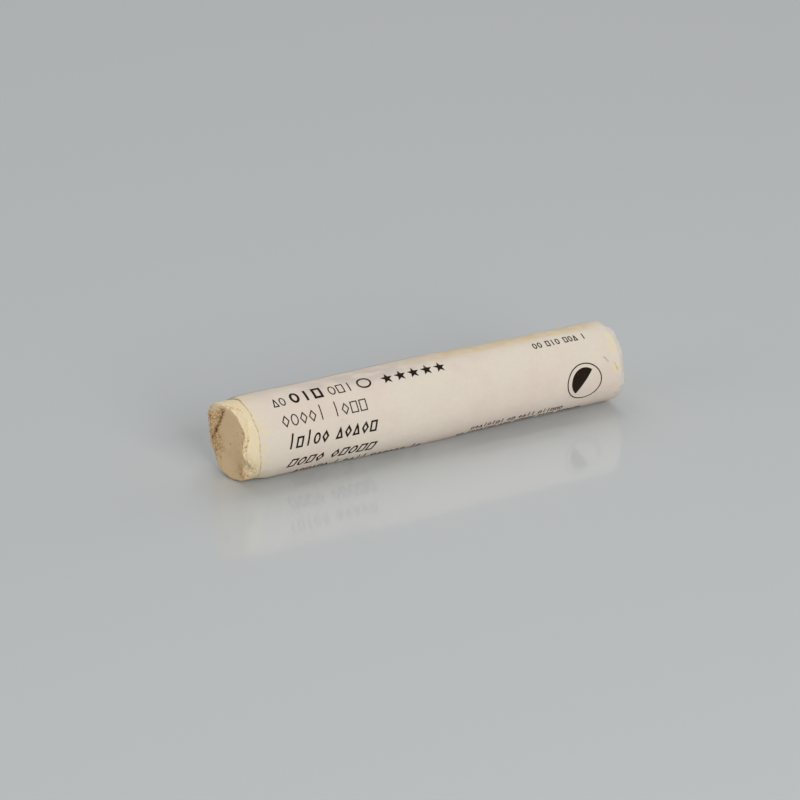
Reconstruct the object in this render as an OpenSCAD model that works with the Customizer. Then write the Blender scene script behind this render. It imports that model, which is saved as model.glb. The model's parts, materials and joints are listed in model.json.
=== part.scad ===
// A used soft pastel stick lying on its side: a pressed stick of chalky pigment, worn and chipped at one
// end, and one sheet of thin paper rolled round the rest of it. X runs along the stick, with the worn end
// towards -X, and the roll lies on the plane Z = 0.

/* [Pigment stick] */
// Length of the stick, from the tip of the worn end to the square end
stick_length = 58.4; // [45:0.2:80]
// Diameter of the stick
stick_d = 10.76; // [8:0.02:14]
// Chamfer round the square end
end_chamfer = 0.4; // [0.1:0.05:1]
// Width of the rounded-over edge that is left at the tip
tip_bevel = 0.5; // [0.1:0.05:1]

/* [Worn end] */
// Length of bare stick past the paper, at the tip
bare_length = 3.2; // [2.5:0.1:12]
// Distance of the rubbed face behind the tip, on the axis
rubbed_set_back = 1.15; // [0.8:0.05:2]
// Lean of the rubbed face to the side, in degrees
rubbed_lean = 3; // [0:0.5:8]
// Distance below the axis at which the lower break starts
lower_break_drop = 1; // [0:0.05:2]
// Lean of the lower break under the rubbed face, in degrees
lower_break_lean = 10; // [6:0.5:16]
// Direction of the broken lip round the axis, in degrees above the far side
lip_bearing = 26; // [15:1:60]
// Greatest width of the lip, in from the side of the stick
lip_width = 1.9; // [0.8:0.05:3]
// Radius of the arc along which the rubbed face ends at the lip
lip_arc_r = 6.5; // [6:0.1:12]
// Radius of the hollow that the break left in the lip's face
hollow_r = 27; // [20:1:60]
// Distance below the axis at which the hollow is deepest
hollow_drop = 2; // [0:0.1:3]
// Width of the furrow along the foot of the lip
furrow_width = 0.4; // [0.2:0.05:0.7]
// Depth of the furrow
furrow_depth = 0.4; // [0.2:0.05:0.8]
// Direction of the large chip in the rim, in degrees above the far side
chip_bearing = 214; // [190:1:250]
// Size of the large chip
chip_size = 1.5; // [0.5:0.1:2.4]
// Number of crumbs missing along the rim
rim_crumbs = 16; // [0:1:24]
// Number of crumbs missing from the worn face, near the far side
face_crumbs = 9; // [0:1:16]
// Size of the largest missing crumb
crumb_size = 0.55; // [0.2:0.05:0.8]
// Seed for the places of the crumbs
crumb_seed = 5; // [1:1:40]

/* [Paper wrapper] */
// Thickness of the paper
paper_t = 0.1; // [0.06:0.01:0.2]
// Gap between the stick and the inner end of the paper
paper_gap = 0.06; // [0.05:0.01:0.3]
// Air between one turn of paper and the next, where they overlap
turn_gap = 0.02; // [0.02:0.01:0.1]
// Place of the free edge round the axis, in degrees above the far side
seam_bearing = 62; // [40:1:120]
// Overlap of the paper past one turn, in degrees
overlap = 33; // [15:1:60]
// Paper past the square end of the stick
tail = 0.8; // [0.5:0.1:3]
// Extra radius where the loose paper bellies out
belly = 0.22; // [0:0.01:0.4]
// Place of the fullest part of the belly, as a distance from the paper's front edge
belly_place = 25; // [15:1:40]
// Half length of the belly
belly_reach = 14; // [8:1:24]
// Air left under the stick, where it lies on the paper
seat_gap = 0.02; // [0.01:0.01:0.04]

/* [Paper edges] */
// How far the rim past the square end turns in
tuck = 0.35; // [0:0.05:0.6]
// Number of folds round the tucked rim
tuck_folds = 7; // [3:1:12]
// Wave of the two cut edges, from crest to hollow
edge_wave = 0.16; // [0:0.02:0.4]
// How far the front edge runs back underneath, because the sheet was rolled a little askew
edge_skew = 0.5; // [0:0.05:1]
// How far the free corner runs ahead of the front edge
corner_reach = 0.75; // [0:0.05:1.5]
// Width of the free corner round the axis, in degrees
corner_span = 20; // [10:1:30]
// How far the free edge lifts off the turn below, near the front
corner_lift = 0.14; // [0:0.02:0.4]
// Length of the lifted stretch of the free edge
lift_length = 17; // [5:1:30]

/* [Hidden] */

stick_r = stick_d / 2;
// The loose roll is pressed flat underneath until the stick lies on it
axis_z = stick_r + seat_gap + paper_t;
tip_x = -(stick_length + tail) / 2;
square_end_x = tip_x + stick_length;
paper_front_x = tip_x + bare_length;
paper_rear_x = square_end_x + tail;

// ---- Pigment stick, built along its own axis ----

// Everything in front of a face that crosses the axis at x. A face that leans looks down, or to the near side
module in_front_of(x, lean_down, lean_side)
    translate([x, 0, 0])
        rotate([0, -lean_down, lean_side])
            translate([-4 * stick_r, -2 * stick_r, -2 * stick_r])
                cube([4 * stick_r, 4 * stick_r, 4 * stick_r]);

rubbed_x = tip_x + rubbed_set_back;
// The hollowed face of the lip reaches the tip at the top of the stick
hollow_x = tip_x - sqrt(hollow_r * hollow_r - (stick_r + hollow_drop) * (stick_r + hollow_drop));
// The lower break leaves the rubbed face a little below the axis
lower_break_x = rubbed_x - lower_break_drop * tan(lower_break_lean);
// The lip is the crescent between the side of the stick and an arc round a centre off the axis
arc_offset = lip_arc_r + lip_width - stick_r;

// A tool that stands along the stick round the centre of the lip's arc
module at_lip_arc()
    rotate([lip_bearing, 0, 0])
        translate([0, -arc_offset, 0])
            rotate([0, 90, 0])
                children();

// The worn face that drew, flat and smooth, ends at the foot of the lip
module rubbed_face()
    intersection() {
        in_front_of(rubbed_x, 0, rubbed_lean);
        at_lip_arc()
            cylinder(r = lip_arc_r, h = 4 * stick_length, center = true, $fn = 96);
    }

module lower_break()
    in_front_of(lower_break_x, lower_break_lean, rubbed_lean);

// The broken face of the lip is a shallow hollow that runs across the stick
module lip_face()
    translate([hollow_x, 0, -hollow_drop])
        rotate([90, 0, 0])
            cylinder(r = hollow_r, h = 4 * stick_r, center = true, $fn = 180);

// A V-shaped groove along the foot of the lip
module furrow()
    at_lip_arc()
        rotate_extrude($fn = 96)
            polygon([
                [lip_arc_r - furrow_width / 2, rubbed_x - furrow_depth],
                [lip_arc_r, rubbed_x + furrow_depth],
                [lip_arc_r + furrow_width / 2, rubbed_x - furrow_depth],
            ]);

module crumb(size, turn)
    rotate(turn)
        cube(size, center = true);

// Place along the stick of the rubbed face and the lower break, whichever lies deeper at (y, z)
function worn_x(y, z) =
    max(rubbed_x, lower_break_x - z * tan(lower_break_lean) / cos(rubbed_lean)) - y * tan(rubbed_lean);

// Bites out of the rim, from the near shoulder of the rubbed face down to the lower break
module rim_bites() {
    bearing = rands(125, 300, rim_crumbs + 1, crumb_seed);
    size = rands(0.35, 1, rim_crumbs + 1, crumb_seed + 1);
    turn = rands(0, 90, 3 * rim_crumbs + 3, crumb_seed + 2);
    for (i = [0 : 1 : rim_crumbs - 1])
        let (y = stick_r * cos(bearing[i]), z = stick_r * sin(bearing[i]))
            translate([worn_x(y, z), y, z])
                crumb(size[i] * crumb_size, [turn[3 * i], turn[3 * i + 1], turn[3 * i + 2]]);
}

// The large chip where the rubbed face, the lower break and the side meet
module rim_chip()
    translate([rubbed_x, stick_r * cos(chip_bearing), stick_r * sin(chip_bearing)])
        rotate([chip_bearing, 0, 0])
            rotate([0, 0, 45])
                cube([chip_size, chip_size, 2 * chip_size], center = true);

// Pits in the coarse grain between the furrow and the lower break
module face_pits() {
    bearing = rands(-70, 10, face_crumbs + 1, crumb_seed + 3);
    reach = rands(0.45, 0.9, face_crumbs + 1, crumb_seed + 4);
    size = rands(0.35, 0.8, face_crumbs + 1, crumb_seed + 5);
    turn = rands(0, 90, 3 * face_crumbs + 3, crumb_seed + 6);
    for (i = [0 : 1 : face_crumbs - 1])
        let (y = stick_r * reach[i] * cos(bearing[i]), z = stick_r * reach[i] * sin(bearing[i]))
            translate([worn_x(y, z), y, z])
                crumb(size[i] * crumb_size, [turn[3 * i], turn[3 * i + 1], turn[3 * i + 2]]);
}

module pastel_stick()
    color("#dcc894")
        translate([0, 0, axis_z])
            difference() {
                translate([tip_x, 0, 0])
                    rotate([0, 90, 0])
                        rotate_extrude($fn = 96)
                            polygon([
                                [0, 0],
                                [stick_r - tip_bevel, 0],
                                [stick_r, 1.2 * tip_bevel],
                                [stick_r, stick_length - end_chamfer],
                                [stick_r - end_chamfer, stick_length],
                                [0, stick_length],
                            ]);
                rubbed_face();
                lower_break();
                lip_face();
                furrow();
                rim_chip();
                rim_bites();
                face_pits();
            }

// ---- Paper wrapper: one sheet, rolled with its free edge outside ----

around = 64;
along = 24;
sheet_turn = 360 + overlap;

// The sheet's angle runs from the free edge at 0 to the hidden edge inside the roll
function bearing(a) = seam_bearing + a;
function ramp(t) = let (c = min(max(t, 0), 1)) c * c * (3 - 2 * c);
function wave(a, seed) = (sin(3 * bearing(a) + 50 * seed) + sin(5 * bearing(a) + 80 * seed)) / 4;

function front_edge_x(a) =
    paper_front_x + edge_wave * wave(a, 1) + edge_skew * (0.3 - 0.7 * sin(bearing(a) - 20))
    - corner_reach * ramp(1 - a / corner_span);
function rear_edge_x(a) = paper_rear_x + edge_wave * (wave(a, 2) - 0.5);

function belly_out(x) = belly * ramp(1 - abs(x - paper_front_x - belly_place) / belly_reach);
function lift_out(a, x) =
    corner_lift * ramp(1 - a / corner_span) * ramp((paper_front_x + lift_length - x) / lift_length);
function tuck_in(a, x) =
    tuck * (0.55 + 0.45 * sin(tuck_folds * bearing(a)) * cos(2 * bearing(a)))
         * ramp((x - square_end_x - turn_gap) / tail);

// Radius of the sheet's inner face
function inner_r(a, x) =
    stick_r + paper_gap + (paper_t + turn_gap) * (sheet_turn - a) / 360
    + belly_out(x) + lift_out(a, x) - tuck_in(a, x);

// A point of the sheet, with its underside pressed flat. out is 0 on the inner face and 1 on the outer.
function sheet_point(a, x, out) =
    let (r = inner_r(a, x) + out * paper_t, low = (1 - out) * paper_t)
        [x, r * cos(bearing(a)), max(axis_z + r * sin(bearing(a)), low)];

// Stations lie closer together towards both edges
function station(v) = v - 0.85 * sin(360 * v) / (2 * PI);
function sheet_row(v, out) = [
    for (i = [0 : around])
        let (a = sheet_turn * i / around, x0 = front_edge_x(a), x1 = rear_edge_x(a))
            sheet_point(a, x0 + (x1 - x0) * station(v), out)
];

module paper_wrapper() {
    row = around + 1;
    side = row * (along + 1);
    points = concat(
        [for (j = [0 : along]) each sheet_row(j / along, 1)],
        [for (j = [0 : along]) each sheet_row(j / along, 0)]
    );
    // The two triangles of a four-sided patch
    function patch(p, q, r, s) = [[p, q, r], [p, r, s]];
    faces = [
        for (j = [0 : along - 1], i = [0 : around - 1])
            let (p = j * row + i)
                each concat(
                    patch(p, p + 1, p + row + 1, p + row),
                    patch(side + p, side + p + row, side + p + row + 1, side + p + 1)
                ),
        for (i = [0 : around - 1])
            let (p = i, q = along * row + i)
                each concat(patch(p, side + p, side + p + 1, p + 1), patch(q, q + 1, side + q + 1, side + q)),
        for (j = [0 : along - 1])
            let (p = j * row, q = p + around)
                each concat(patch(p, p + row, side + p + row, side + p), patch(q, side + q, side + q + row, q + row)),
    ];
    color("#e4d9cd")
        polyhedron(points, faces);
}

pastel_stick();
paper_wrapper();
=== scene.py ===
"""A used soft pastel stick in its rolled paper wrapper, lying on its side on a pale plate.

Lengths are in millimetres until a mesh is made. A bearing is in degrees round the stick's axis, counted
from the far side (+Y) over the top. The pigment, the paper and the print are each worked out from the
sizes below, so that they lie in the solids of the frame.
"""
import json
import math

import bpy
import numpy as np
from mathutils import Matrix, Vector, noise

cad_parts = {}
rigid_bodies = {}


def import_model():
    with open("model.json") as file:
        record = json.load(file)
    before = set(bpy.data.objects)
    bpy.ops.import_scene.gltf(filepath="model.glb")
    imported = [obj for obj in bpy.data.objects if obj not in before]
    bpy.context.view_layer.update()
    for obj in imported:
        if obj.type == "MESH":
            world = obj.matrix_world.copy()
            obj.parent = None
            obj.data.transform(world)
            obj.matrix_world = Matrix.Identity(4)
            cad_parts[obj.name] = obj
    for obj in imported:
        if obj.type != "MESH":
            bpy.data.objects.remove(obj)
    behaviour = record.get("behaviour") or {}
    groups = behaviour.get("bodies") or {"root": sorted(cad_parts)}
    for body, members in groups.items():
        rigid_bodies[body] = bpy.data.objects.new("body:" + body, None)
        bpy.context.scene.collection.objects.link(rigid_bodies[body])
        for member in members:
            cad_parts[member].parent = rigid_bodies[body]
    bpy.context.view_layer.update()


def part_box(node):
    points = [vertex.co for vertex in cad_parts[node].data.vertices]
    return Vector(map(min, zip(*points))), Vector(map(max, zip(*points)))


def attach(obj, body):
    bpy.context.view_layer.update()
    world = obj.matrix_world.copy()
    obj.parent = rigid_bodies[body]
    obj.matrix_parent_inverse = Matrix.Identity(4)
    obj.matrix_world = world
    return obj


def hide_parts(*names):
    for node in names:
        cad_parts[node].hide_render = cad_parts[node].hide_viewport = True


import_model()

MM = 0.001

# ---- Sizes of the stick, from the frame ----
stick_low, stick_high = (np.array(corner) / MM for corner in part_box("pastel_stick"))
STICK_R = (stick_high[1] - stick_low[1]) / 2
AXIS_Z = stick_high[2] - STICK_R
TIP_X = stick_low[0]
SQUARE_END_X = stick_high[0]
END_CHAMFER = 0.4

# ---- The worn end, close to the solid's ----
BARE_LENGTH = 3.2
RUBBED_X = TIP_X + 1.15
RUBBED_LEAN = 3
LOWER_BREAK_DROP = 1
LOWER_BREAK_LEAN = 10
LIP_BEARING = 26
LIP_WIDTH = 1.9
LIP_ARC_R = 6.5
HOLLOW_R = 27
HOLLOW_DROP = 2
# The lip starts this far inside its arc, and has its full height this far outside it
LIP_FOOT = 0.1
LIP_SLOPE = 1.1
# The edge that is left at the tip, and the bevel that wear gave the rest of the rim, most of all on top
TIP_BEVEL = 0.18
RIM_BEVEL = 0.16
RIM_SLOPE = 2.4
UPPER_WEAR = {"bearing": 98, "span": 62, "width": 0.26}
# Low on the near side a piece crumbled off, which left a slope
CHIP = {"bearing": 208, "span": 30, "width": 1.0, "slope": 0.7}
# Where the worn face stands out further: (bearing, span, height)
SWELLS = [(292, 48, 0.62), (176, 27, 0.7), (216, 30, 0.1)]
# The furrow at the foot of the lip, as (y, z) corners
FURROW = [
    (1.0, 4.5), (1.38, 3.75), (1.88, 2.86), (2.11, 2.34), (2.41, 1.8), (3.18, 0.87), (3.61, 0.2), (3.9, -0.6),
]
FURROW_WIDTH = 0.55
FURROW_DEPTH = 0.28
# The side's skin stays this far inside the solid, and its fine mesh ends this far under the paper
SKIN_GAP = 0.008
UNDER_PAPER = 2.5
# Single crumbs that fell out of the coarse grain: (y, z, radius, depth)
PITS = [
    (3.5, 0.3, 0.26, 0.45), (4.5, -1.0, 0.24, 0.30), (2.4, -0.1, 0.20, 0.26), (3.3, 0.9, 0.16, 0.2),
    (-0.5, -0.1, 0.14, 0.22), (3.8, -2.6, 0.22, 0.25), (3.1, -2.1, 0.24, 0.25), (2.3, -3.1, 0.17, 0.25),
    (-3.9, 2.6, 0.15, 0.15), (-4.3, 1.6, 0.16, 0.15), (-3.9, 0.1, 0.16, 0.15), (4.2, 2.4, 0.2, 0.2),
]

# ---- The paper, close to the solid's ----
PAPER_T = 0.1
PAPER_GAP = 0.06
TURN_GAP = 0.02
SEAM_BEARING = 62
OVERLAP = 33
SHEET_TURN = 360 + OVERLAP
TAIL = 0.8
BELLY = 0.22
BELLY_PLACE = 25
BELLY_REACH = 14
# The rim past the square end turns in, from this far behind it
TUCK = 0.35
TUCK_FOLDS = 7
TUCK_START = 0.12
# The sheet's nicked rear edge may reach this far past the solid's
REAR_MARGIN = 0.2
EDGE_WAVE = 0.16
EDGE_SKEW = 0.5
# The free corner runs ahead of the front edge, and the free edge lifts a little near it
CORNER_REACH = 1.1
CORNER_SPAN = 30
CORNER_LIFT = 0.02
LIFT_SPAN = 16
LIFT_LENGTH = 17
# Near its front edge the sheet hugs the stick, and the second turn hugs the first
HUG_LENGTH = 2.2
HUG_GAP = 0.003
HUG_OVERLAP = 0.07
# The sheet thins out to this share of its thickness at the front edge, over this length
THIN_EDGE = 0.22
FEATHER = 1.6
PAPER_FRONT_X = TIP_X + BARE_LENGTH
PAPER_REAR_X = SQUARE_END_X + TAIL
ROLL_R = STICK_R + PAPER_GAP + PAPER_T + TURN_GAP
# Length of one degree round the roll
DEGREE = math.radians(ROLL_R)

# ---- The ink: how far it stands out of the paper, and how far it reaches in ----
INK_LIFT = 0.02
INK_SUNK = 0.03


def sin(degrees):
    return np.sin(np.radians(degrees))


def cos(degrees):
    return np.cos(np.radians(degrees))


def tan(degrees):
    return np.tan(np.radians(degrees))


def ramp(t):
    """A smooth step from 0 at t = 0 to 1 at t = 1."""
    c = np.clip(t, 0, 1)
    return c * c * (3 - 2 * c)


def between(low, high, value):
    """A smooth step from 0 at low to 1 at high."""
    return ramp((value - low) / (high - low))


def near(value, centre, reach):
    """1 at the centre, falling smoothly to 0 at that reach on either side."""
    return ramp(1 - np.abs(value - centre) / reach)


def from_line(u, v, start, end):
    """How far each point (u, v) lies from the straight line that joins two points."""
    du, dv = end[0] - start[0], end[1] - start[1]
    t = np.clip(((u - start[0]) * du + (v - start[1]) * dv) / (du**2 + dv**2), 0, 1)
    return np.hypot(u - start[0] - t * du, v - start[1] - t * dv)


def noise_places(points, size, seed):
    """Points turned to noise space, where features of that size in mm are 1 across."""
    shift = Vector((seed * 31.7, seed * 12.9, seed * 7.3))
    return (Vector(p) / size + shift for p in points.reshape(-1, 3))


def clouds(points, size, seed, octaves=3):
    """Smooth noise of about -1 to 1 at each point, with features of that size in mm."""
    values = [noise.fractal(p, 1.0, 2.0, octaves) for p in noise_places(points, size, seed)]
    return np.reshape(values, points.shape[:-1])


def lumps(points, size, seed):
    """Rounded grains of that size in mm: 1 on top of a grain and 0 between grains."""
    values = [1 - min(noise.voronoi(p)[0][0] * 1.2, 1) for p in noise_places(points, size, seed)]
    return np.reshape(values, points.shape[:-1])


# ---- Materials ----


def colour(code):
    """The linear colour of an sRGB hex value."""
    parts = [int(code[i : i + 2], 16) / 255 for i in (1, 3, 5)]
    return [c / 12.92 if c <= 0.04045 else ((c + 0.055) / 1.055) ** 2.4 for c in parts] + [1]


def scale_of(size):
    """The texture scale at which a pattern's features are that many millimetres across."""
    return 1 / (size * MM)


def node(tree, kind, links=None, values=None, **settings):
    """Adds a node, with its settings, its sockets' values and the outputs that feed its sockets."""
    made = tree.nodes.new(kind)
    for name, value in settings.items():
        setattr(made, name, value)
    for socket, value in (values or {}).items():
        made.inputs[socket].default_value = value
    for socket, source in (links or {}).items():
        tree.links.new(source, made.inputs[socket])
    return made


def blank_material(name, roughness, specular):
    """A material with a Principled surface, its tree and the place of each point on the piece."""
    material = bpy.data.materials.new(name)
    material.use_nodes = True
    tree = material.node_tree
    surface = tree.nodes["Principled BSDF"]
    surface.inputs["Roughness"].default_value = roughness
    surface.inputs["Specular IOR Level"].default_value = specular
    place = node(tree, "ShaderNodeTexCoord").outputs["Object"]
    return material, tree, surface, place


def pattern(tree, place, size, detail=3.0, roughness=0.55, low=0.35, high=0.65):
    """Noise with features of that size in mm, spread so that low turns to 0 and high to 1."""
    texture = node(
        tree, "ShaderNodeTexNoise", {"Vector": place},
        {"Scale": scale_of(size), "Detail": detail, "Roughness": roughness},
    )
    spread = node(
        tree, "ShaderNodeMapRange", {"Value": texture.outputs["Fac"]},
        {"From Min": low, "From Max": high}, clamp=True,
    )
    return spread.outputs["Result"]


def layered(tree, base, layers):
    """The base colour with layers over it. Each layer is a colour, how strong it is, and the masks that hold
    it back: outputs, or the names of values that the mesh carries."""
    under = base
    for over, strength, *masks in layers:
        amount = None
        for mask in masks:
            if isinstance(mask, str):
                mask = node(tree, "ShaderNodeAttribute", attribute_name=mask).outputs["Fac"]
            if amount:
                both = node(tree, "ShaderNodeMath", {0: amount, 1: mask}, operation="MULTIPLY")
                mask = both.outputs["Value"]
            amount = mask
        if strength < 1:
            weak = node(tree, "ShaderNodeMath", {0: amount}, {1: strength}, operation="MULTIPLY")
            amount = weak.outputs["Value"]
        mix = node(tree, "ShaderNodeMix", {0: amount}, data_type="RGBA")
        for socket, part in ((6, under), (7, over)):
            if isinstance(part, str):
                mix.inputs[socket].default_value = colour(part)
            else:
                tree.links.new(part, mix.inputs[socket])
        under = mix.outputs[2]
    return under


def bumped(tree, surface, layers):
    """Gives the surface a relief from (height output, depth in mm) layers."""
    normal = None
    for height, depth in layers:
        bump = node(tree, "ShaderNodeBump", {"Height": height}, {"Distance": depth * MM})
        if normal:
            tree.links.new(normal, bump.inputs["Normal"])
        normal = bump.outputs["Normal"]
    tree.links.new(normal, surface.inputs["Normal"])


def pressed_chalk():
    """Soft pastel: pale ochre pigment and chalk pressed with hardly any binder. It is dead matt, with a fine
    grain. Where crumbs fell out it shows a darker ochre, which is also painted shade in its pits, small
    holes, dents, furrow and the gaps between its grains."""
    material, tree, surface, place = blank_material("pressed_chalk_pigment", 0.95, 0.15)
    grain = pattern(tree, place, 0.35, detail=4)
    fine = pattern(tree, place, 0.12)
    cloud = pattern(tree, place, 2.5)
    speck = pattern(tree, place, 0.4, low=0.58, high=0.64)
    pale = pattern(tree, place, 0.3, detail=1, low=0.6, high=0.66)
    rust = pattern(tree, place, 0.5, detail=1, low=0.48, high=0.6)
    # Darker ochre that is partly painted shade, for pits, holes, dents, gaps between grains and the furrow
    deep = layered(tree, "#84581c", [("#b0692a", 1, rust)])
    tone = layered(tree, "#ebdbba", [
        ("#e4d1aa", 0.5, cloud),
        ("#d8c59b", 0.25, grain),
        ("#edcfa5", 1, "rubbed"),
        # Painted highlight along the top of the rim
        ("#fce6c0", 0.85, "top_rim_highlight"),
        ("#bd9a66", 0.5, "coarse", fine),
        ("#c08e50", 0.55, "coarse", speck),
        ("#f5e8c4", 0.5, "coarse", pale),
        # Darker ochre with painted shade in the recesses
        (deep, 1, "hollow"),
    ])
    tree.links.new(tone, surface.inputs["Base Color"])
    bumped(tree, surface, [(grain, 0.02), (fine, 0.012)])
    return material


def wrapping_paper():
    """Thin bleached wrapping paper, machine-made: soft, matt and a little see-through, so that the pigment
    behind warms it, and it greys where nothing lies behind. Shade is painted along its free edge, under its
    lifted corner and at its front edge."""
    material, tree, surface, place = blank_material("thin_wrapping_paper", 0.62, 0.3)
    broad = pattern(tree, place, 9, detail=2)
    cloud = pattern(tree, place, 2.6)
    fibre = pattern(tree, place, 0.5, detail=4)
    crease = pattern(tree, place, 1.4, detail=2)
    dust = pattern(tree, place, 0.6, detail=4, low=0.38, high=0.55)
    tone = layered(tree, "#dfd5c5", [
        ("#ddcdc0", 1, broad),
        ("#e2d9cb", 0.35, cloud),
        ("#cbbfae", 0.12, fibre),
        # Greyer where nothing lies behind, and painted shade on the lifted corner and along the free edge
        ("#c3b8b1", 0.75, "loose"),
        ("#d6bf94", 0.75, "glue"),
        ("#e9d8a4", 0.7, "pigment", dust),
        ("#d2ccc3", 1, "overhang"),
        # Brown painted shade along the free edge, the lifted corner and the front edge, with dirt on the
        # front edge, and cracks
        ("#9c7c5a", 1, "line"),
    ])
    tree.links.new(tone, surface.inputs["Base Color"])
    bumped(tree, surface, [(crease, 0.02), (fibre, 0.006)])
    return material


def printing_ink():
    """Brown-black offset ink, laid so thinly that the paper's grain breaks it up a little."""
    material, tree, surface, place = blank_material("brown_black_printing_ink", 0.6, 0.2)
    worn = pattern(tree, place, 0.3, low=0.6, high=0.75)
    tone = layered(tree, "#23170f", [("#66564a", 0.5, worn)])
    tree.links.new(tone, surface.inputs["Base Color"])
    return material


def pale_plate():
    """The pale grey plate that the stick lies on, with a slight sheen."""
    material, _, surface, _ = blank_material("pale_grey_plate", 0.1, 0.5)
    surface.inputs["Base Color"].default_value = colour("#c6c9ca")
    return material


# ---- Meshes ----


def mesh_piece(name, points, faces, material, smooth=True):
    """A mesh object from points in millimetres."""
    mesh = bpy.data.meshes.new(name)
    mesh.from_pydata((np.asarray(points) * MM).tolist(), [], faces)
    mesh.materials.append(material)
    mesh.polygons.foreach_set("use_smooth", [smooth] * len(mesh.polygons))
    piece = bpy.data.objects.new(name, mesh)
    bpy.context.scene.collection.objects.link(piece)
    return piece


def paint(piece, name, values):
    """Stores a value for each vertex, which the material reads."""
    piece.data.attributes.new(name, "FLOAT", "POINT").data.foreach_set("value", values)


def about_axis(x, r, bearing):
    """Points at those distances along the stick's axis and from it, with the axis at height 0."""
    x, r, bearing = np.broadcast_arrays(x, r, bearing)
    return np.stack([x, r * cos(bearing), r * sin(bearing)], axis=-1)


def round_points(x, r, bearing):
    """Points at those distances along the stick's axis and from it, at the height at which the stick lies."""
    points = about_axis(x, r, bearing)
    points[..., 2] += AXIS_Z
    return points


# ---- The pigment stick ----

# How finely the skin is meshed: points round it, and rings on each of its parts
STICK_AROUND = 480
FACE_RINGS = 124
BAND_RINGS = 44
BODY_RINGS = 6
REAR_RINGS = 8
# How coarse the grain of the square end is
REAR_COARSE = 0.35
ARC_OFFSET = LIP_ARC_R + LIP_WIDTH - STICK_R


def lip_distance(y, z):
    """How far outside the arc at the foot of the lip a point lies."""
    return np.hypot(y + ARC_OFFSET * cos(LIP_BEARING), z + ARC_OFFSET * sin(LIP_BEARING)) - LIP_ARC_R


def worn_x(y, z, wander):
    """Place along the stick of the worn end at (y, z): the rubbed face, the lower break and the lip."""
    rubbed = RUBBED_X - y * tan(RUBBED_LEAN)
    lower = rubbed - (LOWER_BREAK_DROP + z / cos(RUBBED_LEAN)) * tan(LOWER_BREAK_LEAN)
    bearing = np.degrees(np.arctan2(z, y)) % 360
    swell = sum(height * near(bearing, middle, span) for middle, span, height in SWELLS)
    deepest = TIP_X - math.sqrt(HOLLOW_R**2 - (STICK_R + HOLLOW_DROP) ** 2)
    lip = np.maximum(lower, deepest + np.sqrt(HOLLOW_R**2 - (z + HOLLOW_DROP) ** 2))
    on_lip = between(-LIP_FOOT, LIP_SLOPE, lip_distance(y, z) + wander)
    face = lip + np.maximum(rubbed - lip, 0) * (1 - on_lip)
    return face - swell * between(1.5, STICK_R, np.hypot(y, z))


def furrow_distance(y, z):
    """How far a point of the worn face lies from the furrow at the foot of the lip."""
    return np.minimum.reduce([from_line(y, z, start, end) for start, end in zip(FURROW, FURROW[1:])])


def upper_rim(y, z):
    """1 along the top of the rim, where a pale painted highlight lies and the grain is less coarse."""
    r, bearing = np.hypot(y, z), np.degrees(np.arctan2(z, y)) % 360
    return between(STICK_R - 1.2, STICK_R - 0.6, r) * ramp(1.5 - np.abs(bearing - 72) / 34)


def coarse_grain(y, z):
    """1 where the break left coarse grain, and 0 where the stick was rubbed smooth."""
    lip = between(-0.25, 0.15, lip_distance(y, z))
    far_side = ramp(1.4 - np.hypot(y - 3.4, z + 0.9) / 2.2)
    foot = ramp(1.5 - np.hypot((y + 3.3) / 1.5, (z + 3.2) / 1.3))
    r, bearing = np.hypot(y, z), np.degrees(np.arctan2(z, y)) % 360
    near_rim = between(STICK_R - 1.1, STICK_R - 0.4, r) * near(bearing, 180, 65)
    chip = between(STICK_R - 1.9, STICK_R - 1.1, r) * near(bearing, CHIP["bearing"] + 6, CHIP["span"])
    rough = np.maximum.reduce([lip, far_side * 0.9, foot * 0.9, near_rim * 0.8, 0.55 * chip])
    # The top of the rim has less coarse grain: less relief, and a paler colour that is part of the painted
    # highlight
    return np.clip(rough * (1 - 0.55 * upper_rim(y, z)), 0, 1)


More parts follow.
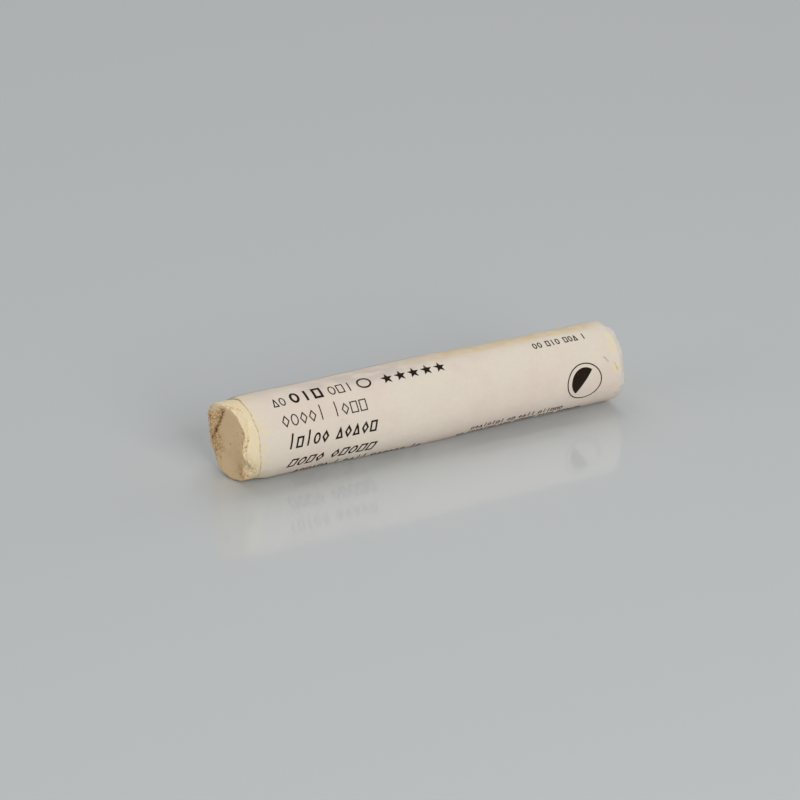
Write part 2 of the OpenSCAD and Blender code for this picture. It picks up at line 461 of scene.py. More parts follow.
def worn_face(bearing, reach):
    """The skin of the worn end: its place along the stick, its distance from the axis, and the values that
    its colours follow."""
    y, z = reach * cos(bearing), reach * sin(bearing)
    flat = about_axis(0, reach, bearing)
    coarse = coarse_grain(y, z)

    # Grains stand up out of the break, and the rubbed face keeps only a faint relief
    grains = lumps(flat, 0.55, 2)
    small = lumps(flat, 0.25, 3)
    dust = clouds(flat, 0.17, 4, 2)
    broad = clouds(flat, 2.2, 5)
    patches = clouds(flat, 1.1, 10)
    relief = coarse * (0.24 * (grains - 0.4) + 0.2 * (small - 0.4) + 0.06 * dust + 0.12 * patches)
    relief = relief + 0.03 * broad + 0.01 * dust
    # Gaps between grains, which are painted dark as shade in them
    gaps = coarse * between(0.34, 0.1, small) * between(-0.3, 0.25, patches)

    # The furrow is a broken line of holes, deepest where it nears the middle
    away = furrow_distance(y, z) + 0.3 * dust + 0.3 * (small - 0.4)
    furrow = near(away, 0.0, FURROW_WIDTH) * between(-1.2, 0.2, z) * (1 - 0.6 * between(3.2, 4.6, z))
    furrow = furrow * between(-0.75, -0.1, clouds(flat, 0.7, 20))
    pits = np.zeros(y.shape)
    for pit_y, pit_z, radius, depth in PITS:
        away = np.hypot(y - pit_y, z - pit_z) / radius + 0.5 * dust + 0.5 * (small - 0.4)
        pits = np.maximum(pits, depth * ramp(1.4 - away))
    # Tiny holes pepper the rubbed face, mostly low and towards the near side
    pepper = between(0.52, 0.64, clouds(flat, 0.2, 22, 1)) * between(2.0, -2.0, y + 0.4 * z)

    # The rim is bevelled by wear, crumbs are missing along it, and a piece broke off low on the near side
    bevel = 0.04 + RIM_BEVEL * near(bearing, 150, 130)
    bevel = bevel * (1 + 0.7 * patches + 0.3 * dust) + 0.12 * coarse * (small - 0.4)
    bevel = bevel + UPPER_WEAR["width"] * near(bearing, UPPER_WEAR["bearing"], UPPER_WEAR["span"])
    bevel_depth = RIM_SLOPE * np.maximum(reach - STICK_R + bevel, 0)
    bevel_depth = bevel_depth * (1 - 0.7 * between(-0.5, 0.8, lip_distance(y, z)))
    chip_width = CHIP["width"] * near(bearing, CHIP["bearing"], CHIP["span"]) * (1 + 0.3 * patches)
    chip_depth = CHIP["slope"] * np.maximum(reach - STICK_R + chip_width, 0)
    bevel_depth = np.maximum(bevel_depth * (1 - 0.6 * between(0.1, 0.6, chip_depth)), chip_depth)
    bites = np.maximum(clouds(flat, 0.9, 6) - 0.02, 0) * near(bearing, 215, 100)
    bites = bites * between(STICK_R - 0.3, STICK_R, reach)

    smooth_x = worn_x(y, z, 0.22 * clouds(flat, 0.7, 1))
    face_x = smooth_x - relief + FURROW_DEPTH * furrow + pits + 0.4 * bites + bevel_depth
    bevel_x = TIP_X + 1.2 * (reach - (STICK_R - TIP_BEVEL)) - relief
    face_x = np.maximum(np.maximum(face_x, bevel_x), TIP_X) + 0.04 * pepper

    # Where the rim is worn to a slope, its grains stand out sideways
    steep = between(0.02, 0.25, bevel_depth) * (1 - between(STICK_R - 0.05, STICK_R, reach) * 0.5)
    solid = np.stack([face_x, y, z], axis=-1)
    grain_in = 0.16 * (1 - lumps(solid, 0.38, 23)) + 0.07 * (1 - lumps(solid, 0.2, 24))
    face_r = reach - (steep * (0.25 + 0.75 * coarse)) * grain_in

    outer = between(STICK_R - 1.6, STICK_R - 0.6, reach) * near(bearing, 200, 80)
    # The top of the rim faces up and is painted pale there as a highlight, with less coarse and rubbed colour
    top_rim_highlight = upper_rim(y, z)
    rubbed = between(0.25, -0.05, bevel_depth) * (0.8 + 0.2 * between(-0.3, 0.3, patches))
    return face_x, face_r, {
        "coarse": coarse * (1 - 0.45 * outer) * (1 - 0.6 * top_rim_highlight),
        # Pits, gaps, small holes and the furrow: darker ochre that is partly painted shade in these recesses
        "hollow": np.clip(0.9 * furrow + pits / 0.3 + 0.6 * gaps + 0.5 * pepper, 0, 0.8),
        "rubbed": rubbed * (1 - 0.8 * top_rim_highlight),
        "top_rim_highlight": top_rim_highlight,
    }


def stick_side(bearing, rim_x):
    """The skin of the side, from the rim back under the paper, and the values that its colours follow."""
    s = np.linspace(0, 1, BAND_RINGS + 1)[1:, None] ** 1.4
    x = rim_x + (PAPER_FRONT_X + UNDER_PAPER - rim_x) * s
    side = about_axis(x, STICK_R, bearing)
    swell = 0.015 * clouds(side, 0.8, 7) + 0.02 * clouds(side, 3, 8)
    crumbled = near(bearing, 215, 60) * between(1.2, 0.1, x - rim_x)
    # Dents where the rim crumbled, also painted darker as shade in them
    dented = crumbled * between(0.4, 0.1, lumps(side, 0.35, 9)) * 0.08
    r = STICK_R - SKIN_GAP + np.minimum(0.5 * swell, 0.004) - dented
    return x, r, {"coarse": 0.3 * crumbled, "hollow": dented / 0.3}


def closed_skin(rings, front, back):
    """Points and faces of a skin of rings, closed by a pole in front of the first and one behind the last."""
    at = np.arange(rings.size // 3).reshape(rings.shape[:2])
    after = np.roll(at, -1, axis=1)
    faces = np.stack([at[:-1], after[:-1], after[1:], at[1:]], axis=-1).reshape(-1, 4).tolist()
    faces += [(at.size, b, a) for a, b in zip(at[0].tolist(), after[0].tolist())]
    faces += [(at.size + 1, a, b) for a, b in zip(at[-1].tolist(), after[-1].tolist())]
    return np.concatenate([rings.reshape(-1, 3), [front, back]]), faces


def pastel_stick(chalk):
    """The whole stick as one skin: the worn face, its rim, the side, and the square end inside the paper."""
    bearing = np.linspace(0, 360, STICK_AROUND, endpoint=False)[None, :]
    t = np.linspace(0, 1, FACE_RINGS + 1)[1:, None]
    face_x, face_r, on_face = worn_face(bearing, STICK_R * (1 - (1 - t) ** 1.5))
    side_x, side_r, on_side = stick_side(bearing, face_x[-1:])
    hidden_x = PAPER_FRONT_X + UNDER_PAPER
    body_x = np.linspace(hidden_x, SQUARE_END_X - END_CHAMFER, BODY_RINGS + 1)[1:, None]
    rear_r = (STICK_R - END_CHAMFER) * (1 - np.linspace(0, 1, REAR_RINGS + 1)[:-1, None])
    rings = np.concatenate([
        round_points(face_x, face_r, bearing),
        round_points(side_x, side_r, bearing),
        round_points(body_x, STICK_R - SKIN_GAP, bearing),
        round_points(SQUARE_END_X, rear_r, bearing),
    ])
    points, faces = closed_skin(rings, [face_x[0].mean(), 0, AXIS_Z], [SQUARE_END_X, 0, AXIS_Z])
    piece = mesh_piece("pastel_stick_detail", points, faces, chalk)
    for name, face_values in on_face.items():
        rear_value = REAR_COARSE if name == "coarse" else 0
        values = np.zeros(rings.shape[:2])
        values[:FACE_RINGS] = face_values
        values[FACE_RINGS : FACE_RINGS + BAND_RINGS] = on_side.get(name, 0)
        values[-REAR_RINGS:] = rear_value
        paint(piece, name, np.append(values, [rear_value, rear_value]))
    return piece


# ---- The paper wrapper ----

# How finely the sheet is meshed, round the roll and along it
SHEET_AROUND = 262
SHEET_ALONG = 176


def wave(a, seed):
    """A slow waver of a cut edge, round the sheet."""
    bearing = SEAM_BEARING + a
    return (sin(3 * bearing + 50 * seed) + sin(5 * bearing + 80 * seed)) / 4


def torn(a, size, seed):
    """Unevenness of a cut edge, from its place round the sheet."""
    return clouds(np.stack([a * DEGREE, 0 * a, 0 * a], axis=-1), size, seed)


def front_edge_x(a):
    """Where the sheet's front edge lies: a little skew and torn, with a corner that reaches forward."""
    skew = EDGE_SKEW * (0.3 - 0.7 * sin(SEAM_BEARING + a - 20))
    corner = CORNER_REACH * ramp(1 - a / CORNER_SPAN)
    tear = 0.12 * torn(a, 1.6, 11) + 0.06 * torn(a, 0.5, 12)
    return PAPER_FRONT_X + EDGE_WAVE * wave(a, 1) + skew - corner + tear


def rear_edge_x(a):
    """Where the sheet's rear edge lies, just past the stick's square end."""
    nicks = 0.12 * np.abs(torn(a, 1.2, 13)) + 0.08 * np.abs(torn(a, 0.4, 14))
    return PAPER_REAR_X + REAR_MARGIN + EDGE_WAVE * (wave(a, 2) - 0.5) - nicks


def dents(bearing, x):
    """Soft dents and creases of the loose paper, the same in both turns."""
    at = about_axis(0.7 * x, ROLL_R, bearing)
    rim = between(SQUARE_END_X - 1.2, SQUARE_END_X + 0.6, x)
    crumple = 0.12 * rim * clouds(at, 0.9, 17)
    return np.maximum(0.07 * clouds(at, 5.5, 15) + 0.02 * clouds(at, 1.9, 16, 2) + crumple, -0.04)


def inner_r(a, x):
    """Radius of the sheet's inner face."""
    bearing = SEAM_BEARING + a
    turns = (PAPER_T + TURN_GAP) * (SHEET_TURN - a) / 360
    belly = BELLY * near(x, PAPER_FRONT_X + BELLY_PLACE, BELLY_REACH)
    lift = CORNER_LIFT * ramp(1 - a / LIFT_SPAN) * ramp((PAPER_FRONT_X + LIFT_LENGTH - x) / LIFT_LENGTH)
    # The rear rim folds in least low on the near side
    folds = 0.55 + 0.45 * sin(TUCK_FOLDS * bearing) * cos(2 * bearing)
    folds = folds * (1 - 0.7 * near(bearing, 235, 50))
    tuck = TUCK * folds * ramp((x - SQUARE_END_X - TUCK_START) / TAIL)
    loose = PAPER_GAP + turns + belly + dents(bearing, x)
    over_a_turn = (1 - between(OVERLAP + 1, 60, a)) * between(-0.35, -0.05, x - front_edge_x(a + 360))
    held = HUG_GAP + HUG_OVERLAP * over_a_turn
    hug = ramp(1 - (x - front_edge_x(a)) / HUG_LENGTH)
    return STICK_R + loose * (1 - hug) + held * hug + lift - tuck


def thickness(a, x):
    """The sheet thins out to a soft cut edge at the front."""
    return PAPER_T * (THIN_EDGE + (1 - THIN_EDGE) * ramp((x - front_edge_x(a)) / FEATHER))


def sheet_points(a, x, out):
    """Points of the sheet, out mm from its inner face, pressed flat where the roll lies on the plate."""
    points = round_points(x, inner_r(a, x) + out, SEAM_BEARING + a)
    points[..., 2] = np.maximum(points[..., 2], np.minimum(PAPER_T - out, PAPER_T) + 0 * x)
    return points


def paper_wrapper(paper):
    """One sheet rolled round the stick, with its free edge outside and a thin wall."""
    a = np.linspace(0, SHEET_TURN, SHEET_AROUND + 1)[None, :]
    v = np.linspace(0, 1, SHEET_ALONG + 1)[:, None]
    station = v - 0.7 * np.sin(2 * math.pi * v) / (2 * math.pi)
    x = front_edge_x(a) + (rear_edge_x(a) - front_edge_x(a)) * station
    a = a + 0 * x
    outside, inside = sheet_points(a, x, thickness(a, x)), sheet_points(a, x, 0)
    at = np.arange(x.size).reshape(x.shape)
    back = at + x.size
    quads = [
        np.stack([at[:-1, :-1], at[:-1, 1:], at[1:, 1:], at[1:, :-1]], -1).reshape(-1, 4),
        np.stack([back[:-1, :-1], back[1:, :-1], back[1:, 1:], back[:-1, 1:]], -1).reshape(-1, 4),
    ]
    cut = [
        np.stack([at[0, :-1], back[0, :-1], back[0, 1:], at[0, 1:]], -1),
        np.stack([at[-1, :-1], at[-1, 1:], back[-1, 1:], back[-1, :-1]], -1),
        np.stack([at[:-1, 0], at[1:, 0], back[1:, 0], back[:-1, 0]], -1),
        np.stack([at[:-1, -1], back[:-1, -1], back[1:, -1], at[1:, -1]], -1),
    ]
    points = np.concatenate([outside.reshape(-1, 3), inside.reshape(-1, 3)])
    piece = mesh_piece("rolled_paper", points, np.concatenate(quads + cut).tolist(), paper)
    smooth = [True] * sum(map(len, quads)) + [False] * sum(map(len, cut))
    piece.data.polygons.foreach_set("use_smooth", smooth)

    for name, values in paper_stains(a, x).items():
        paint(piece, name, np.tile(np.clip(values, 0, 1).ravel(), 2))
    return piece


# Small cracks that show pigment near the rear: ends as (x, bearing)
CRACKS = [((26.6, 150), (27.1, 157)), ((28.1, 161), (28.45, 172))]
# Smudges of pigment: (x, bearing, reach, strength)
SMUDGES = [
    (-25.2, 88, 0.95, 1.0), (-25.5, 142, 0.7, 0.6), (-25.6, 151, 0.8, 0.7), (-26.2, 139, 0.5, 0.6),
    (-25.9, 116, 0.5, 0.5), (-25.8, 172, 0.6, 0.4), (28.7, 124, 1.1, 1.0), (28.6, 137, 1.1, 1.0),
    (28.2, 166, 1.1, 1.0), (26.9, 152, 0.4, 0.7), (21.3, 90, 0.9, 0.8), (25.6, 141, 0.7, 0.35),
]


def paper_stains(a, x):
    """How dusty, glued, loose or cracked the sheet is at each of its points, and where shade is painted on
    it.
    """
    bearing = SEAM_BEARING + a
    place = about_axis(x, ROLL_R, bearing)
    patches = clouds(place, 1.6, 18)
    veins = clouds(place * [0.35, 1, 1], 1.0, 19)
    fine = clouds(place, 0.5, 21)
    from_front = x - front_edge_x(a)
    # Dust rubbed off the stick near both cut edges
    dust = between(2.4, 0.2, from_front) * between(-0.3, 0.5, patches + 0.4 * fine) * 0.7
    dust = np.maximum(dust, 0.65 * between(0.9, 0.1, from_front + 0.5 * patches))
    for smudge_x, smudge_bearing, reach, strength in SMUDGES:
        away = np.hypot(x - smudge_x, (bearing - smudge_bearing) * DEGREE) / reach
        dust = np.maximum(dust, strength * between(1.1, 0.3, away + 0.5 * patches + 0.4 * fine))
    # Glue and pigment show through the overlap, along the top
    strip = 1 - between(93, 105, bearing + 6 * patches)
    glue = strip * between(-8, 6, x) * (1 - between(26, 29, x)) * (0.45 + 0.55 * between(-0.4, 0.4, patches))
    # Where the roll stands off the stick, the paper is greyer
    off = near(bearing, 98, 30) * near(x, -8, 19) * between(-0.5, 0.4, veins + 0.5 * patches)
    # The corner that stands out past the inner turn is painted darker, as shade on its lifted underside
    flap = between(33, 27, a) * between(0.1, -0.25, x - front_edge_x(a + 360))
    # Painted shade along the lifted free edge; along the front edge, dirt with painted shade under the lifted
    # cut
    seam = between(7, 3, a) * (1 - between(4, 10, x))
    shade = between(14, 8, a) * (1 - between(-2, 8, x))
    rim = between(0.16, 0.06, from_front) * between(-0.05, 0.25, fine + 0.3 * patches) * 0.55
    line = np.maximum.reduce([0.6 * seam, 0.35 * shade, rim, 0.5 * flap])
    for (x1, bearing1), (x2, bearing2) in CRACKS:
        away = from_line(x, bearing * DEGREE, (x1, bearing1 * DEGREE), (x2, bearing2 * DEGREE))
        line = np.maximum(line, between(0.15, 0.03, away + 0.1 * fine) * 0.45)
    return {
        "pigment": dust,
        "glue": glue,
        # Greyer where the roll stands off, and painted shade at the corner and along the free edge
        "loose": np.maximum.reduce([off, flap, 0.7 * shade]),
        "overhang": between(SQUARE_END_X + 0.05, SQUARE_END_X + 0.25, x + 0.1 * fine),
        # Brown painted shade lines, dirt at the front edge, and cracks
        "line": line,
    }


# ---- The print: rows of plain marks, stars, two rings and a half disc ----

# Straight lines of ink are cut this short, to follow the roll
MARK_STEP = 0.3
# Width of a mark, as a share of the row's pitch
MARK_SHARE = 0.8
STAR_TIP_R = 0.9
STAR_NOTCH_R = 0.38


def resampled(corners, closed):
    """Points along straight lines through the corners, close enough to follow the roll."""
    ends = corners[1:] + corners[:1] if closed else corners[1:]
    points = []
    for start, end in zip(corners, ends):
        pieces = max(1, math.ceil(math.dist(start, end) / MARK_STEP))
        for i in range(pieces):
            points.append([s + (e - s) * i / pieces for s, e in zip(start, end)])
    if not closed:
        points.append(list(corners[-1]))
    return np.array(points)


def slab(flat):
    """Flat points twice: on top of the ink, and below it in the paper."""
    return np.vstack([np.insert(flat, 2, w, axis=1) for w in (INK_LIFT, -INK_SUNK)])


def stroke(corners, width, closed=False):
    """A flat line of ink through the corners, as (points, faces) of a thin closed slab."""
    path = resampled(corners, closed)
    count = len(path)
    if closed:
        before, after = path - np.roll(path, 1, 0), np.roll(path, -1, 0) - path
    else:
        steps = np.diff(path, axis=0)
        before, after = np.vstack([steps[:1], steps]), np.vstack([steps, steps[-1:]])
    before /= np.linalg.norm(before, axis=1)[:, None]
    after /= np.linalg.norm(after, axis=1)[:, None]
    along = before + after
    along /= np.linalg.norm(along, axis=1)[:, None]
    across = np.column_stack([-along[:, 1], along[:, 0]])
    widen = 1 / np.maximum((along * after).sum(1), 0.5)
    half = across * (width / 2 * widen)[:, None]
    faces = []
    for i in range(count if closed else count - 1):
        j = (i + 1) % count
        faces += [
            (i, i + count, j + count, j),
            (i + 2 * count, j + 2 * count, j + 3 * count, i + 3 * count),
            (i, j, j + 2 * count, i + 2 * count),
            (i + count, i + 3 * count, j + 3 * count, j + count),
        ]
    if not closed:
        last = count - 1
        faces.append((0, 2 * count, 3 * count, count))
        faces.append((last, last + count, last + 3 * count, last + 2 * count))
    return slab(np.vstack([path + half, path - half])), faces


def fan(outline):
    """A filled shape of ink that every point of the outline can see the middle of."""
    count = len(outline)
    flat = np.vstack([outline, np.mean(outline, axis=0)])
    faces, under = [], count + 1
    for i in range(count):
        j = (i + 1) % count
        faces += [(count, i, j), (count + under, j + under, i + under), (i, i + under, j + under, j)]
    return slab(flat), faces


def flat_mark(name, shapes, slant=0.0):
    """A mark in the plane of the unrolled paper, from one or more slabs of ink."""
    points, faces = [], []
    for shape_points, shape_faces in shapes:
        faces += [tuple(len(points) + i for i in face) for face in shape_faces]
        points += [(u + v * tan(slant), v, w) for u, v, w in shape_points]
    mesh = bpy.data.meshes.new(name)
    mesh.from_pydata(points, [], faces)
    return bpy.data.objects.new(name, mesh)


def oval(wide, high, centre=(0.0, 0.0), count=32):
    """Corners of an oval with those half sizes."""
    turns = [2 * math.pi * i / count for i in range(count)]
    return [(centre[0] + wide * math.cos(t), centre[1] + high * math.sin(t)) for t in turns]


def word_marks(height, low, pitch, ink_width, slant):
    """The plain marks that a row is made of: a tick, a ring, a square, a triangle and a lozenge."""
    wide, edge = MARK_SHARE * pitch, ink_width / 2
    middle = wide / 2
    return [
        flat_mark("tick", [stroke([(middle, 0), (middle, height)], ink_width)], slant),
        flat_mark("ring", [ring(middle, low, edge)], slant),
        flat_mark("square", [square(wide, low, edge)], slant),
        flat_mark("triangle", [triangle(wide, low, edge)], slant),
        flat_mark("lozenge", [lozenge(wide, low, edge)], slant),
    ]


def ring(middle, height, edge):
    """A narrow oval line with that middle and height."""
    return stroke(oval(middle - edge, height / 2 - edge, (middle, height / 2)), 2 * edge, True)


def square(wide, height, edge):
    """An upright rectangle of ink line."""
    corners = [(edge, edge), (wide - edge, edge), (wide - edge, height - edge), (edge, height - edge)]
    return stroke(corners, 2 * edge, True)


def triangle(wide, height, edge):
    """An upright triangle of ink line."""
    return stroke([(edge, edge), (wide - edge, edge), (wide / 2, height - edge)], 2 * edge, True)


def lozenge(wide, height, edge):
    """A lozenge of ink line that stands on its tip."""
    corners = [(wide / 2, edge), (wide - edge, height / 2), (wide / 2, height - edge), (edge, height / 2)]
    return stroke(corners, 2 * edge, True)


def star():
    """A five-pointed star, upright, 1.7 mm across."""
    outline = []
    for i in range(10):
        r = STAR_TIP_R if i % 2 == 0 else STAR_NOTCH_R
        outline.append((r * math.sin(i * math.pi / 5), r * math.cos(i * math.pi / 5)))
    return flat_mark("star", [fan(np.array(outline[::-1]))])


def geometry_tree(name, inputs):
    """A geometry node tree with those named inputs and one output, and the outputs of its input node."""
    tree = bpy.data.node_groups.new(name, "GeometryNodeTree")
    for label, kind in inputs.items():
        tree.interface.new_socket(label, in_out="INPUT", socket_type="NodeSocket" + kind)
    tree.interface.new_socket("Made", in_out="OUTPUT", socket_type="NodeSocketGeometry")
    return tree, node(tree, "NodeGroupInput").outputs


def row_tree():
    """Geometry nodes that set marks along a row, picked at random from a collection."""
    tree, given = geometry_tree("row_of_marks", {
        "Count": "Int", "Pitch": "Float", "Seed": "Int", "Kinds": "Int",
        "Marks": "Collection", "Ink": "Material",
    })
    step = node(tree, "ShaderNodeCombineXYZ", {"X": given["Pitch"]}).outputs["Vector"]
    line = node(tree, "GeometryNodeMeshLine", {"Count": given["Count"], "Offset": step})
    marks = node(tree, "GeometryNodeCollectionInfo", {"Collection": given["Marks"]},
                 {"Separate Children": True, "Reset Children": True})
    top = node(tree, "ShaderNodeMath", {0: given["Kinds"]}, {1: 1.0}, operation="SUBTRACT").outputs["Value"]
    pick = node(tree, "FunctionNodeRandomValue", {"Seed": given["Seed"]}, data_type="INT")
    tree.links.new(top, pick.inputs[5])
    placed = node(tree, "GeometryNodeInstanceOnPoints",
                  {"Points": line.outputs["Mesh"], "Instance": marks.outputs["Instances"],
                   "Instance Index": pick.outputs[2]}, {"Pick Instance": True})
    solid = node(tree, "GeometryNodeRealizeInstances", {"Geometry": placed.outputs["Instances"]})
    inked = node(tree, "GeometryNodeSetMaterial",
                 {"Geometry": solid.outputs["Geometry"], "Material": given["Ink"]})
    node(tree, "NodeGroupOutput", {"Made": inked.outputs["Geometry"]})
    return tree


def grown(tree, inputs, base=None):
    """The plain mesh that a geometry node tree makes with those inputs."""
    holder = bpy.data.objects.new("holder", base or bpy.data.meshes.new("holder"))
    bpy.context.scene.collection.objects.link(holder)
    modifier = holder.modifiers.new("grow", "NODES")
    modifier.node_group = tree
    for item in tree.interface.items_tree:
        if item.in_out == "INPUT" and item.name in inputs:
            modifier[item.identifier] = inputs[item.name]
    bpy.context.view_layer.update()
    evaluated = holder.evaluated_get(bpy.context.evaluated_depsgraph_get())
    mesh = bpy.data.meshes.new_from_object(evaluated)
    holder.modifiers.remove(modifier)
    bpy.data.objects.remove(holder)
    return mesh


def laid_out(mesh):
    """The points and faces of a flat mesh."""
    points = np.zeros(len(mesh.vertices) * 3)
    mesh.vertices.foreach_get("co", points)
    return points.reshape(-1, 3), [tuple(p.vertices) for p in mesh.polygons]


def on_paper(points, x, base):
    """Flat points (u, v, w) wrapped on the paper, from x along it and up from the base line's bearing."""
    points = np.asarray(points, float)
    bearing = base - np.degrees(points[:, 1] / (ROLL_R + PAPER_T))
    return sheet_points(bearing - SEAM_BEARING, x + points[:, 0], PAPER_T + points[:, 2])


# Each row: start and end along the roll, bearing of its base line, height of a tall mark, part of it that
# a low mark takes, ink width, slant, marks per word
ROWS = [
    (-23.0, -20.9, 121.5, 1.45, 1.0, 0.16, 0, (2,)),
    (-20.3, -15.3, 121, 1.85, 1.0, 0.34, 0, (3,)),
    (-14.7, -10.9, 120.5, 1.5, 1.0, 0.16, 0, (3,)),
    (-22.7, -10.0, 152, 2.1, 0.75, 0.15, 0, (5, 4)),
    (-22.6, -9.2, 182.5, 2.1, 0.72, 0.25, 14, (5, 5)),
    (-22.3, -9.4, 215, 2.15, 0.7, 0.24, 24, (4, 5)),
    (-20.5, -1.3, 240, 1.5, 0.7, 0.16, 0, (6, 1, 4, 6, 2)),
    (16.8, 25.3, 117, 1.05, 1.0, 0.15, 0, (2, 3, 3, 1)),
    (5.8, 20.5, 223, 0.95, 0.75, 0.14, 0, (8, 2, 4, 6)),
    (4.0, 24.0, 236, 0.95, 0.75, 0.14, 0, (2, 7, 3, 5, 4, 6)),
]
WORD_GAP = 0.7
STARS = {"x": -6.0, "base": 114, "pitch": 2.0, "count": 5}
# Rings: place along the roll, bearing, half width, half height, ink width, corners
RINGS = [(-9.4, 112.5, 0.93, 0.78, 0.24, 32), (23.1, 179, 2.7, 2.6, 0.16, 64)]
HALF_DISC = {"x": 23.1, "bearing": 179, "radius": 2.05, "turn": 50, "rings": 6, "spokes": 20}


def row_of(tree, marks, count, pitch, seed, ink):
    """A row of marks picked from a collection, as flat points and faces."""
    return laid_out(grown(tree, {"Count": count, "Pitch": float(pitch), "Seed": seed,
                                 "Kinds": len(marks.objects), "Marks": marks, "Ink": ink}))


def printed_rows(tree, ink):
    """Every row of marks and the stars, as (points, faces) on the paper."""
    parts = []
    for seed, (start, end, base, height, low, width, slant, words) in enumerate(ROWS):
        pitch = (end - start) / (sum(words) + WORD_GAP * (len(words) - 1))
        marks = bpy.data.collections.new("row_marks")
        for mark in word_marks(height, low * height, pitch, width, slant):
            marks.objects.link(mark)
        x = start
        for number, count in enumerate(words):
            points, faces = row_of(tree, marks, count, pitch, 10 * seed + number, ink)
            parts.append((on_paper(points, x, base), faces))
            x += pitch * (count + WORD_GAP)
    stars = bpy.data.collections.new("stars")
    stars.objects.link(star())
    points, faces = row_of(tree, stars, STARS["count"], STARS["pitch"], 0, ink)
    parts.append((on_paper(points, STARS["x"], STARS["base"]), faces))
    return parts


def half_disc(radius, turn, rings, spokes):
    """Half a disc of ink as one closed slab, with rings close enough to follow the roll."""
    flat = [(0.0, 0.0)]
    for k in range(1, rings + 1):
        for i in range(spokes + 1):
            angle = math.radians(turn) + math.pi * i / spokes
            flat.append((radius * k / rings * math.cos(angle), radius * k / rings * math.sin(angle)))
    under = len(flat)

    def at(k, i):
        return 0 if k == 0 else 1 + (k - 1) * (spokes + 1) + i

    top = [(0, at(1, i), at(1, i + 1)) for i in range(spokes)]
    for k in range(1, rings):
        top += [(at(k, i), at(k + 1, i), at(k + 1, i + 1), at(k, i + 1)) for i in range(spokes)]
    faces = top + [tuple(p + under for p in face[::-1]) for face in top]
    outline = [at(rings, i) for i in range(spokes + 1)]
    outline += [at(k, spokes) for k in range(rings - 1, 0, -1)] + [0] + [at(k, 0) for k in range(1, rings)]
    for p, q in zip(outline, outline[1:] + outline[:1]):
        faces.append((q, p, p + under, q + under))
    return slab(np.array(flat)), faces


def printing(ink):
    """All the print as one thin piece on the paper."""
    parts = printed_rows(row_tree(), ink)
    for x, bearing, wide, high, width, corners in RINGS:
        points, faces = stroke(oval(wide, high, count=corners), width, True)
        parts.append((on_paper(points, x, bearing), faces))
    disc = HALF_DISC
    points, faces = half_disc(disc["radius"], disc["turn"], disc["rings"], disc["spokes"])
    parts.append((on_paper(points, disc["x"], disc["bearing"]), faces))
    all_points, all_faces = [], []
    for points, faces in parts:
        all_faces += [tuple(len(all_points) + i for i in face) for face in faces]
        all_points += points.tolist()
    return mesh_piece("print", all_points, all_faces, ink, smooth=False)


# ---- Loose crumbs on the break ----

CRUMBS = {"Per square metre": 9e6, "Smallest": 0.03 * MM, "Largest": 0.1 * MM, "Seed": 4}
# Least and greatest share of its size that a crumb has along each of its three axes
CRUMB_FLATTEST = 0.6
CRUMB_LONGEST = 1.3


def crumb_tree():
    """Geometry nodes that scatter grains of pigment where the surface is coarse."""
    tree, given = geometry_tree("scattered_crumbs", {
        "Surface": "Geometry", "Per square metre": "Float", "Smallest": "Float", "Largest": "Float",
        "Seed": "Int", "Pigment": "Material",
    })
    coarse = node(tree, "GeometryNodeInputNamedAttribute", values={"Name": "coarse"}, data_type="FLOAT")
    sharp = node(tree, "ShaderNodeMath", {0: coarse.outputs["Attribute"]}, {1: 2.0}, operation="POWER")
    density = node(tree, "ShaderNodeMath", {0: sharp.outputs["Value"], 1: given["Per square metre"]},
                   operation="MULTIPLY")
    points = node(tree, "GeometryNodeDistributePointsOnFaces",
                  {"Mesh": given["Surface"], "Density": density.outputs["Value"], "Seed": given["Seed"]})
    grain = node(tree, "GeometryNodeMeshIcoSphere", values={"Radius": 1.0, "Subdivisions": 1})
    turn = node(tree, "FunctionNodeRandomValue", {"Seed": given["Seed"]}, data_type="FLOAT_VECTOR")
    turn.inputs[1].default_value = [math.tau] * 3
    size = node(tree, "FunctionNodeRandomValue",
                {2: given["Smallest"], 3: given["Largest"], "Seed": given["Seed"]}, data_type="FLOAT")
    shape = node(tree, "FunctionNodeRandomValue", {"Seed": given["Seed"]}, data_type="FLOAT_VECTOR")
    shape.inputs[0].default_value = [CRUMB_FLATTEST] * 3
    shape.inputs[1].default_value = [CRUMB_LONGEST] * 3
    scale = node(tree, "ShaderNodeVectorMath", {0: shape.outputs[0], "Scale": size.outputs[1]},
                 operation="SCALE")
    placed = node(tree, "GeometryNodeInstanceOnPoints",
                  {"Points": points.outputs["Points"], "Instance": grain.outputs["Mesh"],
                   "Rotation": turn.outputs[0], "Scale": scale.outputs["Vector"]})
    solid = node(tree, "GeometryNodeRealizeInstances", {"Geometry": placed.outputs["Instances"]})
    made = node(tree, "GeometryNodeSetMaterial",
                {"Geometry": solid.outputs["Geometry"], "Material": given["Pigment"]})
    node(tree, "NodeGroupOutput", {"Made": made.outputs["Geometry"]})
    return tree


def pigment_crumbs(stick, chalk):
    """Grains that cling to the coarse parts of the worn end."""
    mesh = grown(crumb_tree(), {**CRUMBS, "Pigment": chalk}, base=stick.data.copy())
    mesh.name = "pigment_crumbs"
    piece = bpy.data.objects.new("pigment_crumbs", mesh)
    bpy.context.scene.collection.objects.link(piece)
    return piece


# ---- Camera, light and plate ----

# Where the camera stands and looks, in degrees and millimetres
CAMERA = {"azimuth": -29.12, "elevation": 22.954, "distance": 398.84, "target": (-2.682, 0, 6.133)}
LENS = 133.73
SENSOR = 36
PLATE_HALF = 3000
SKY = "#f3f6f8"
SKY_STRENGTH = 0.29
# How far each soft box stands from the stick, in metres
LAMP_DISTANCE = 0.7
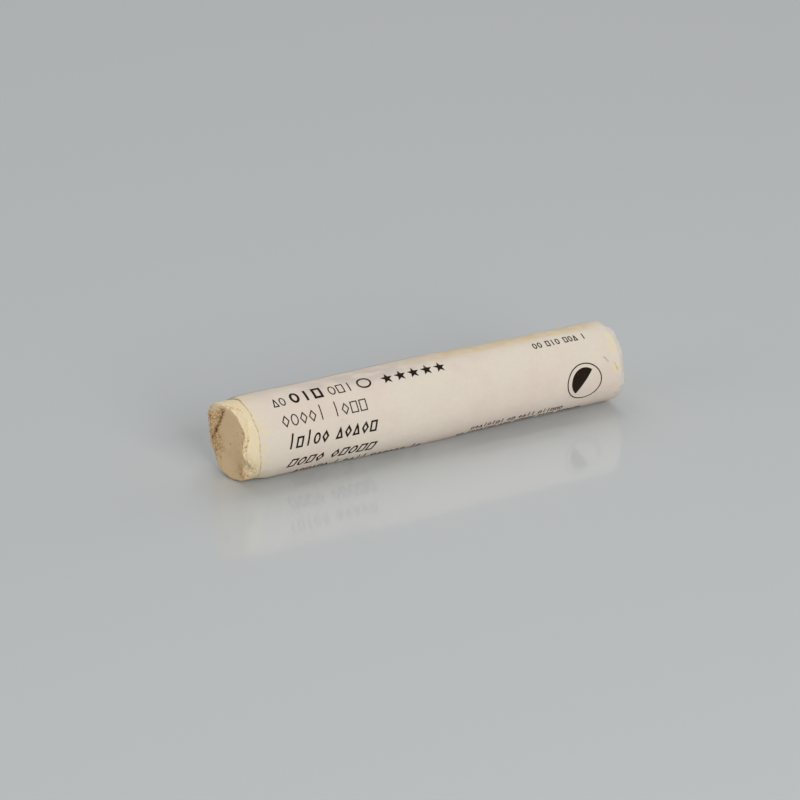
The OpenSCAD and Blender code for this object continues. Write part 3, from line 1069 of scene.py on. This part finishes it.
# Soft boxes: name, azimuth, elevation, width in metres, watts, tint
LAMPS = [
    ("front", 0, 25, 0.35, 2.78, "#ffffff"),
    ("back", 166, 60, 0.75, 2.35, "#ffffff"),
    ("low", -8, 8, 0.24, 0.38, "#ffffff"),
    ("left", -88, 16, 0.4, 0.77, "#fff2e0"),
    ("right", 100, 20, 0.4, 0.5, "#fff2e0"),
]


def looking_from(azimuth, elevation):
    """The direction from the stick to a viewer there: azimuth 0 is in front, on the near side."""
    a, e = math.radians(azimuth), math.radians(elevation)
    return Vector((math.sin(a) * math.cos(e), -math.cos(a) * math.cos(e), math.sin(e)))


def camera():
    """The camera, a long lens that looks down the stick from in front of its worn end."""
    data = bpy.data.cameras.new("camera")
    data.sensor_width = SENSOR
    data.lens = LENS
    seen = bpy.data.objects.new("camera", data)
    bpy.context.scene.collection.objects.link(seen)
    back = looking_from(CAMERA["azimuth"], CAMERA["elevation"])
    seen.location = Vector(CAMERA["target"]) * MM + back * CAMERA["distance"] * MM
    seen.rotation_euler = (-back).to_track_quat("-Z", "Y").to_euler()
    data.clip_start, data.clip_end = 0.01, 20
    bpy.context.scene.camera = seen


def soft_lamp(name, azimuth, elevation, size, watts, tint):
    """A square soft box that faces the stick."""
    data = bpy.data.lights.new(name, "AREA")
    data.size = size
    data.energy = watts
    data.color = colour(tint)[:3]
    lamp = bpy.data.objects.new(name, data)
    lamp.visible_camera = False
    lamp.visible_glossy = False
    bpy.context.scene.collection.objects.link(lamp)
    away = looking_from(azimuth, elevation)
    lamp.location = away * LAMP_DISTANCE
    lamp.rotation_euler = (-away).to_track_quat("-Z", "Y").to_euler()


def plate_and_light():
    """The plate, the even sky and the soft boxes."""
    bpy.context.scene.view_settings.view_transform = "Standard"
    half = PLATE_HALF
    plate = mesh_piece("plate", [(-half, -half, 0), (half, -half, 0), (half, half, 0), (-half, half, 0)],
                       [(0, 1, 2, 3)], pale_plate(), smooth=False)
    world = bpy.data.worlds.new("studio")
    world.use_nodes = True
    bpy.context.scene.world = world
    sky = world.node_tree.nodes["Background"]
    sky.inputs["Color"].default_value = colour(SKY)
    sky.inputs["Strength"].default_value = SKY_STRENGTH
    for lamp in LAMPS:
        soft_lamp(*lamp)


def main():
    """Builds the pieces and gives them to the frame."""
    chalk, paper, ink = pressed_chalk(), wrapping_paper(), printing_ink()
    stick = pastel_stick(chalk)
    crumbs = pigment_crumbs(stick, chalk)
    wrapper = paper_wrapper(paper)
    marks = printing(ink)
    for piece in (stick, crumbs, wrapper, marks):
        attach(piece, "root")
    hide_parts("pastel_stick")
    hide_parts("paper_wrapper")
    plate_and_light()
    camera()


main()
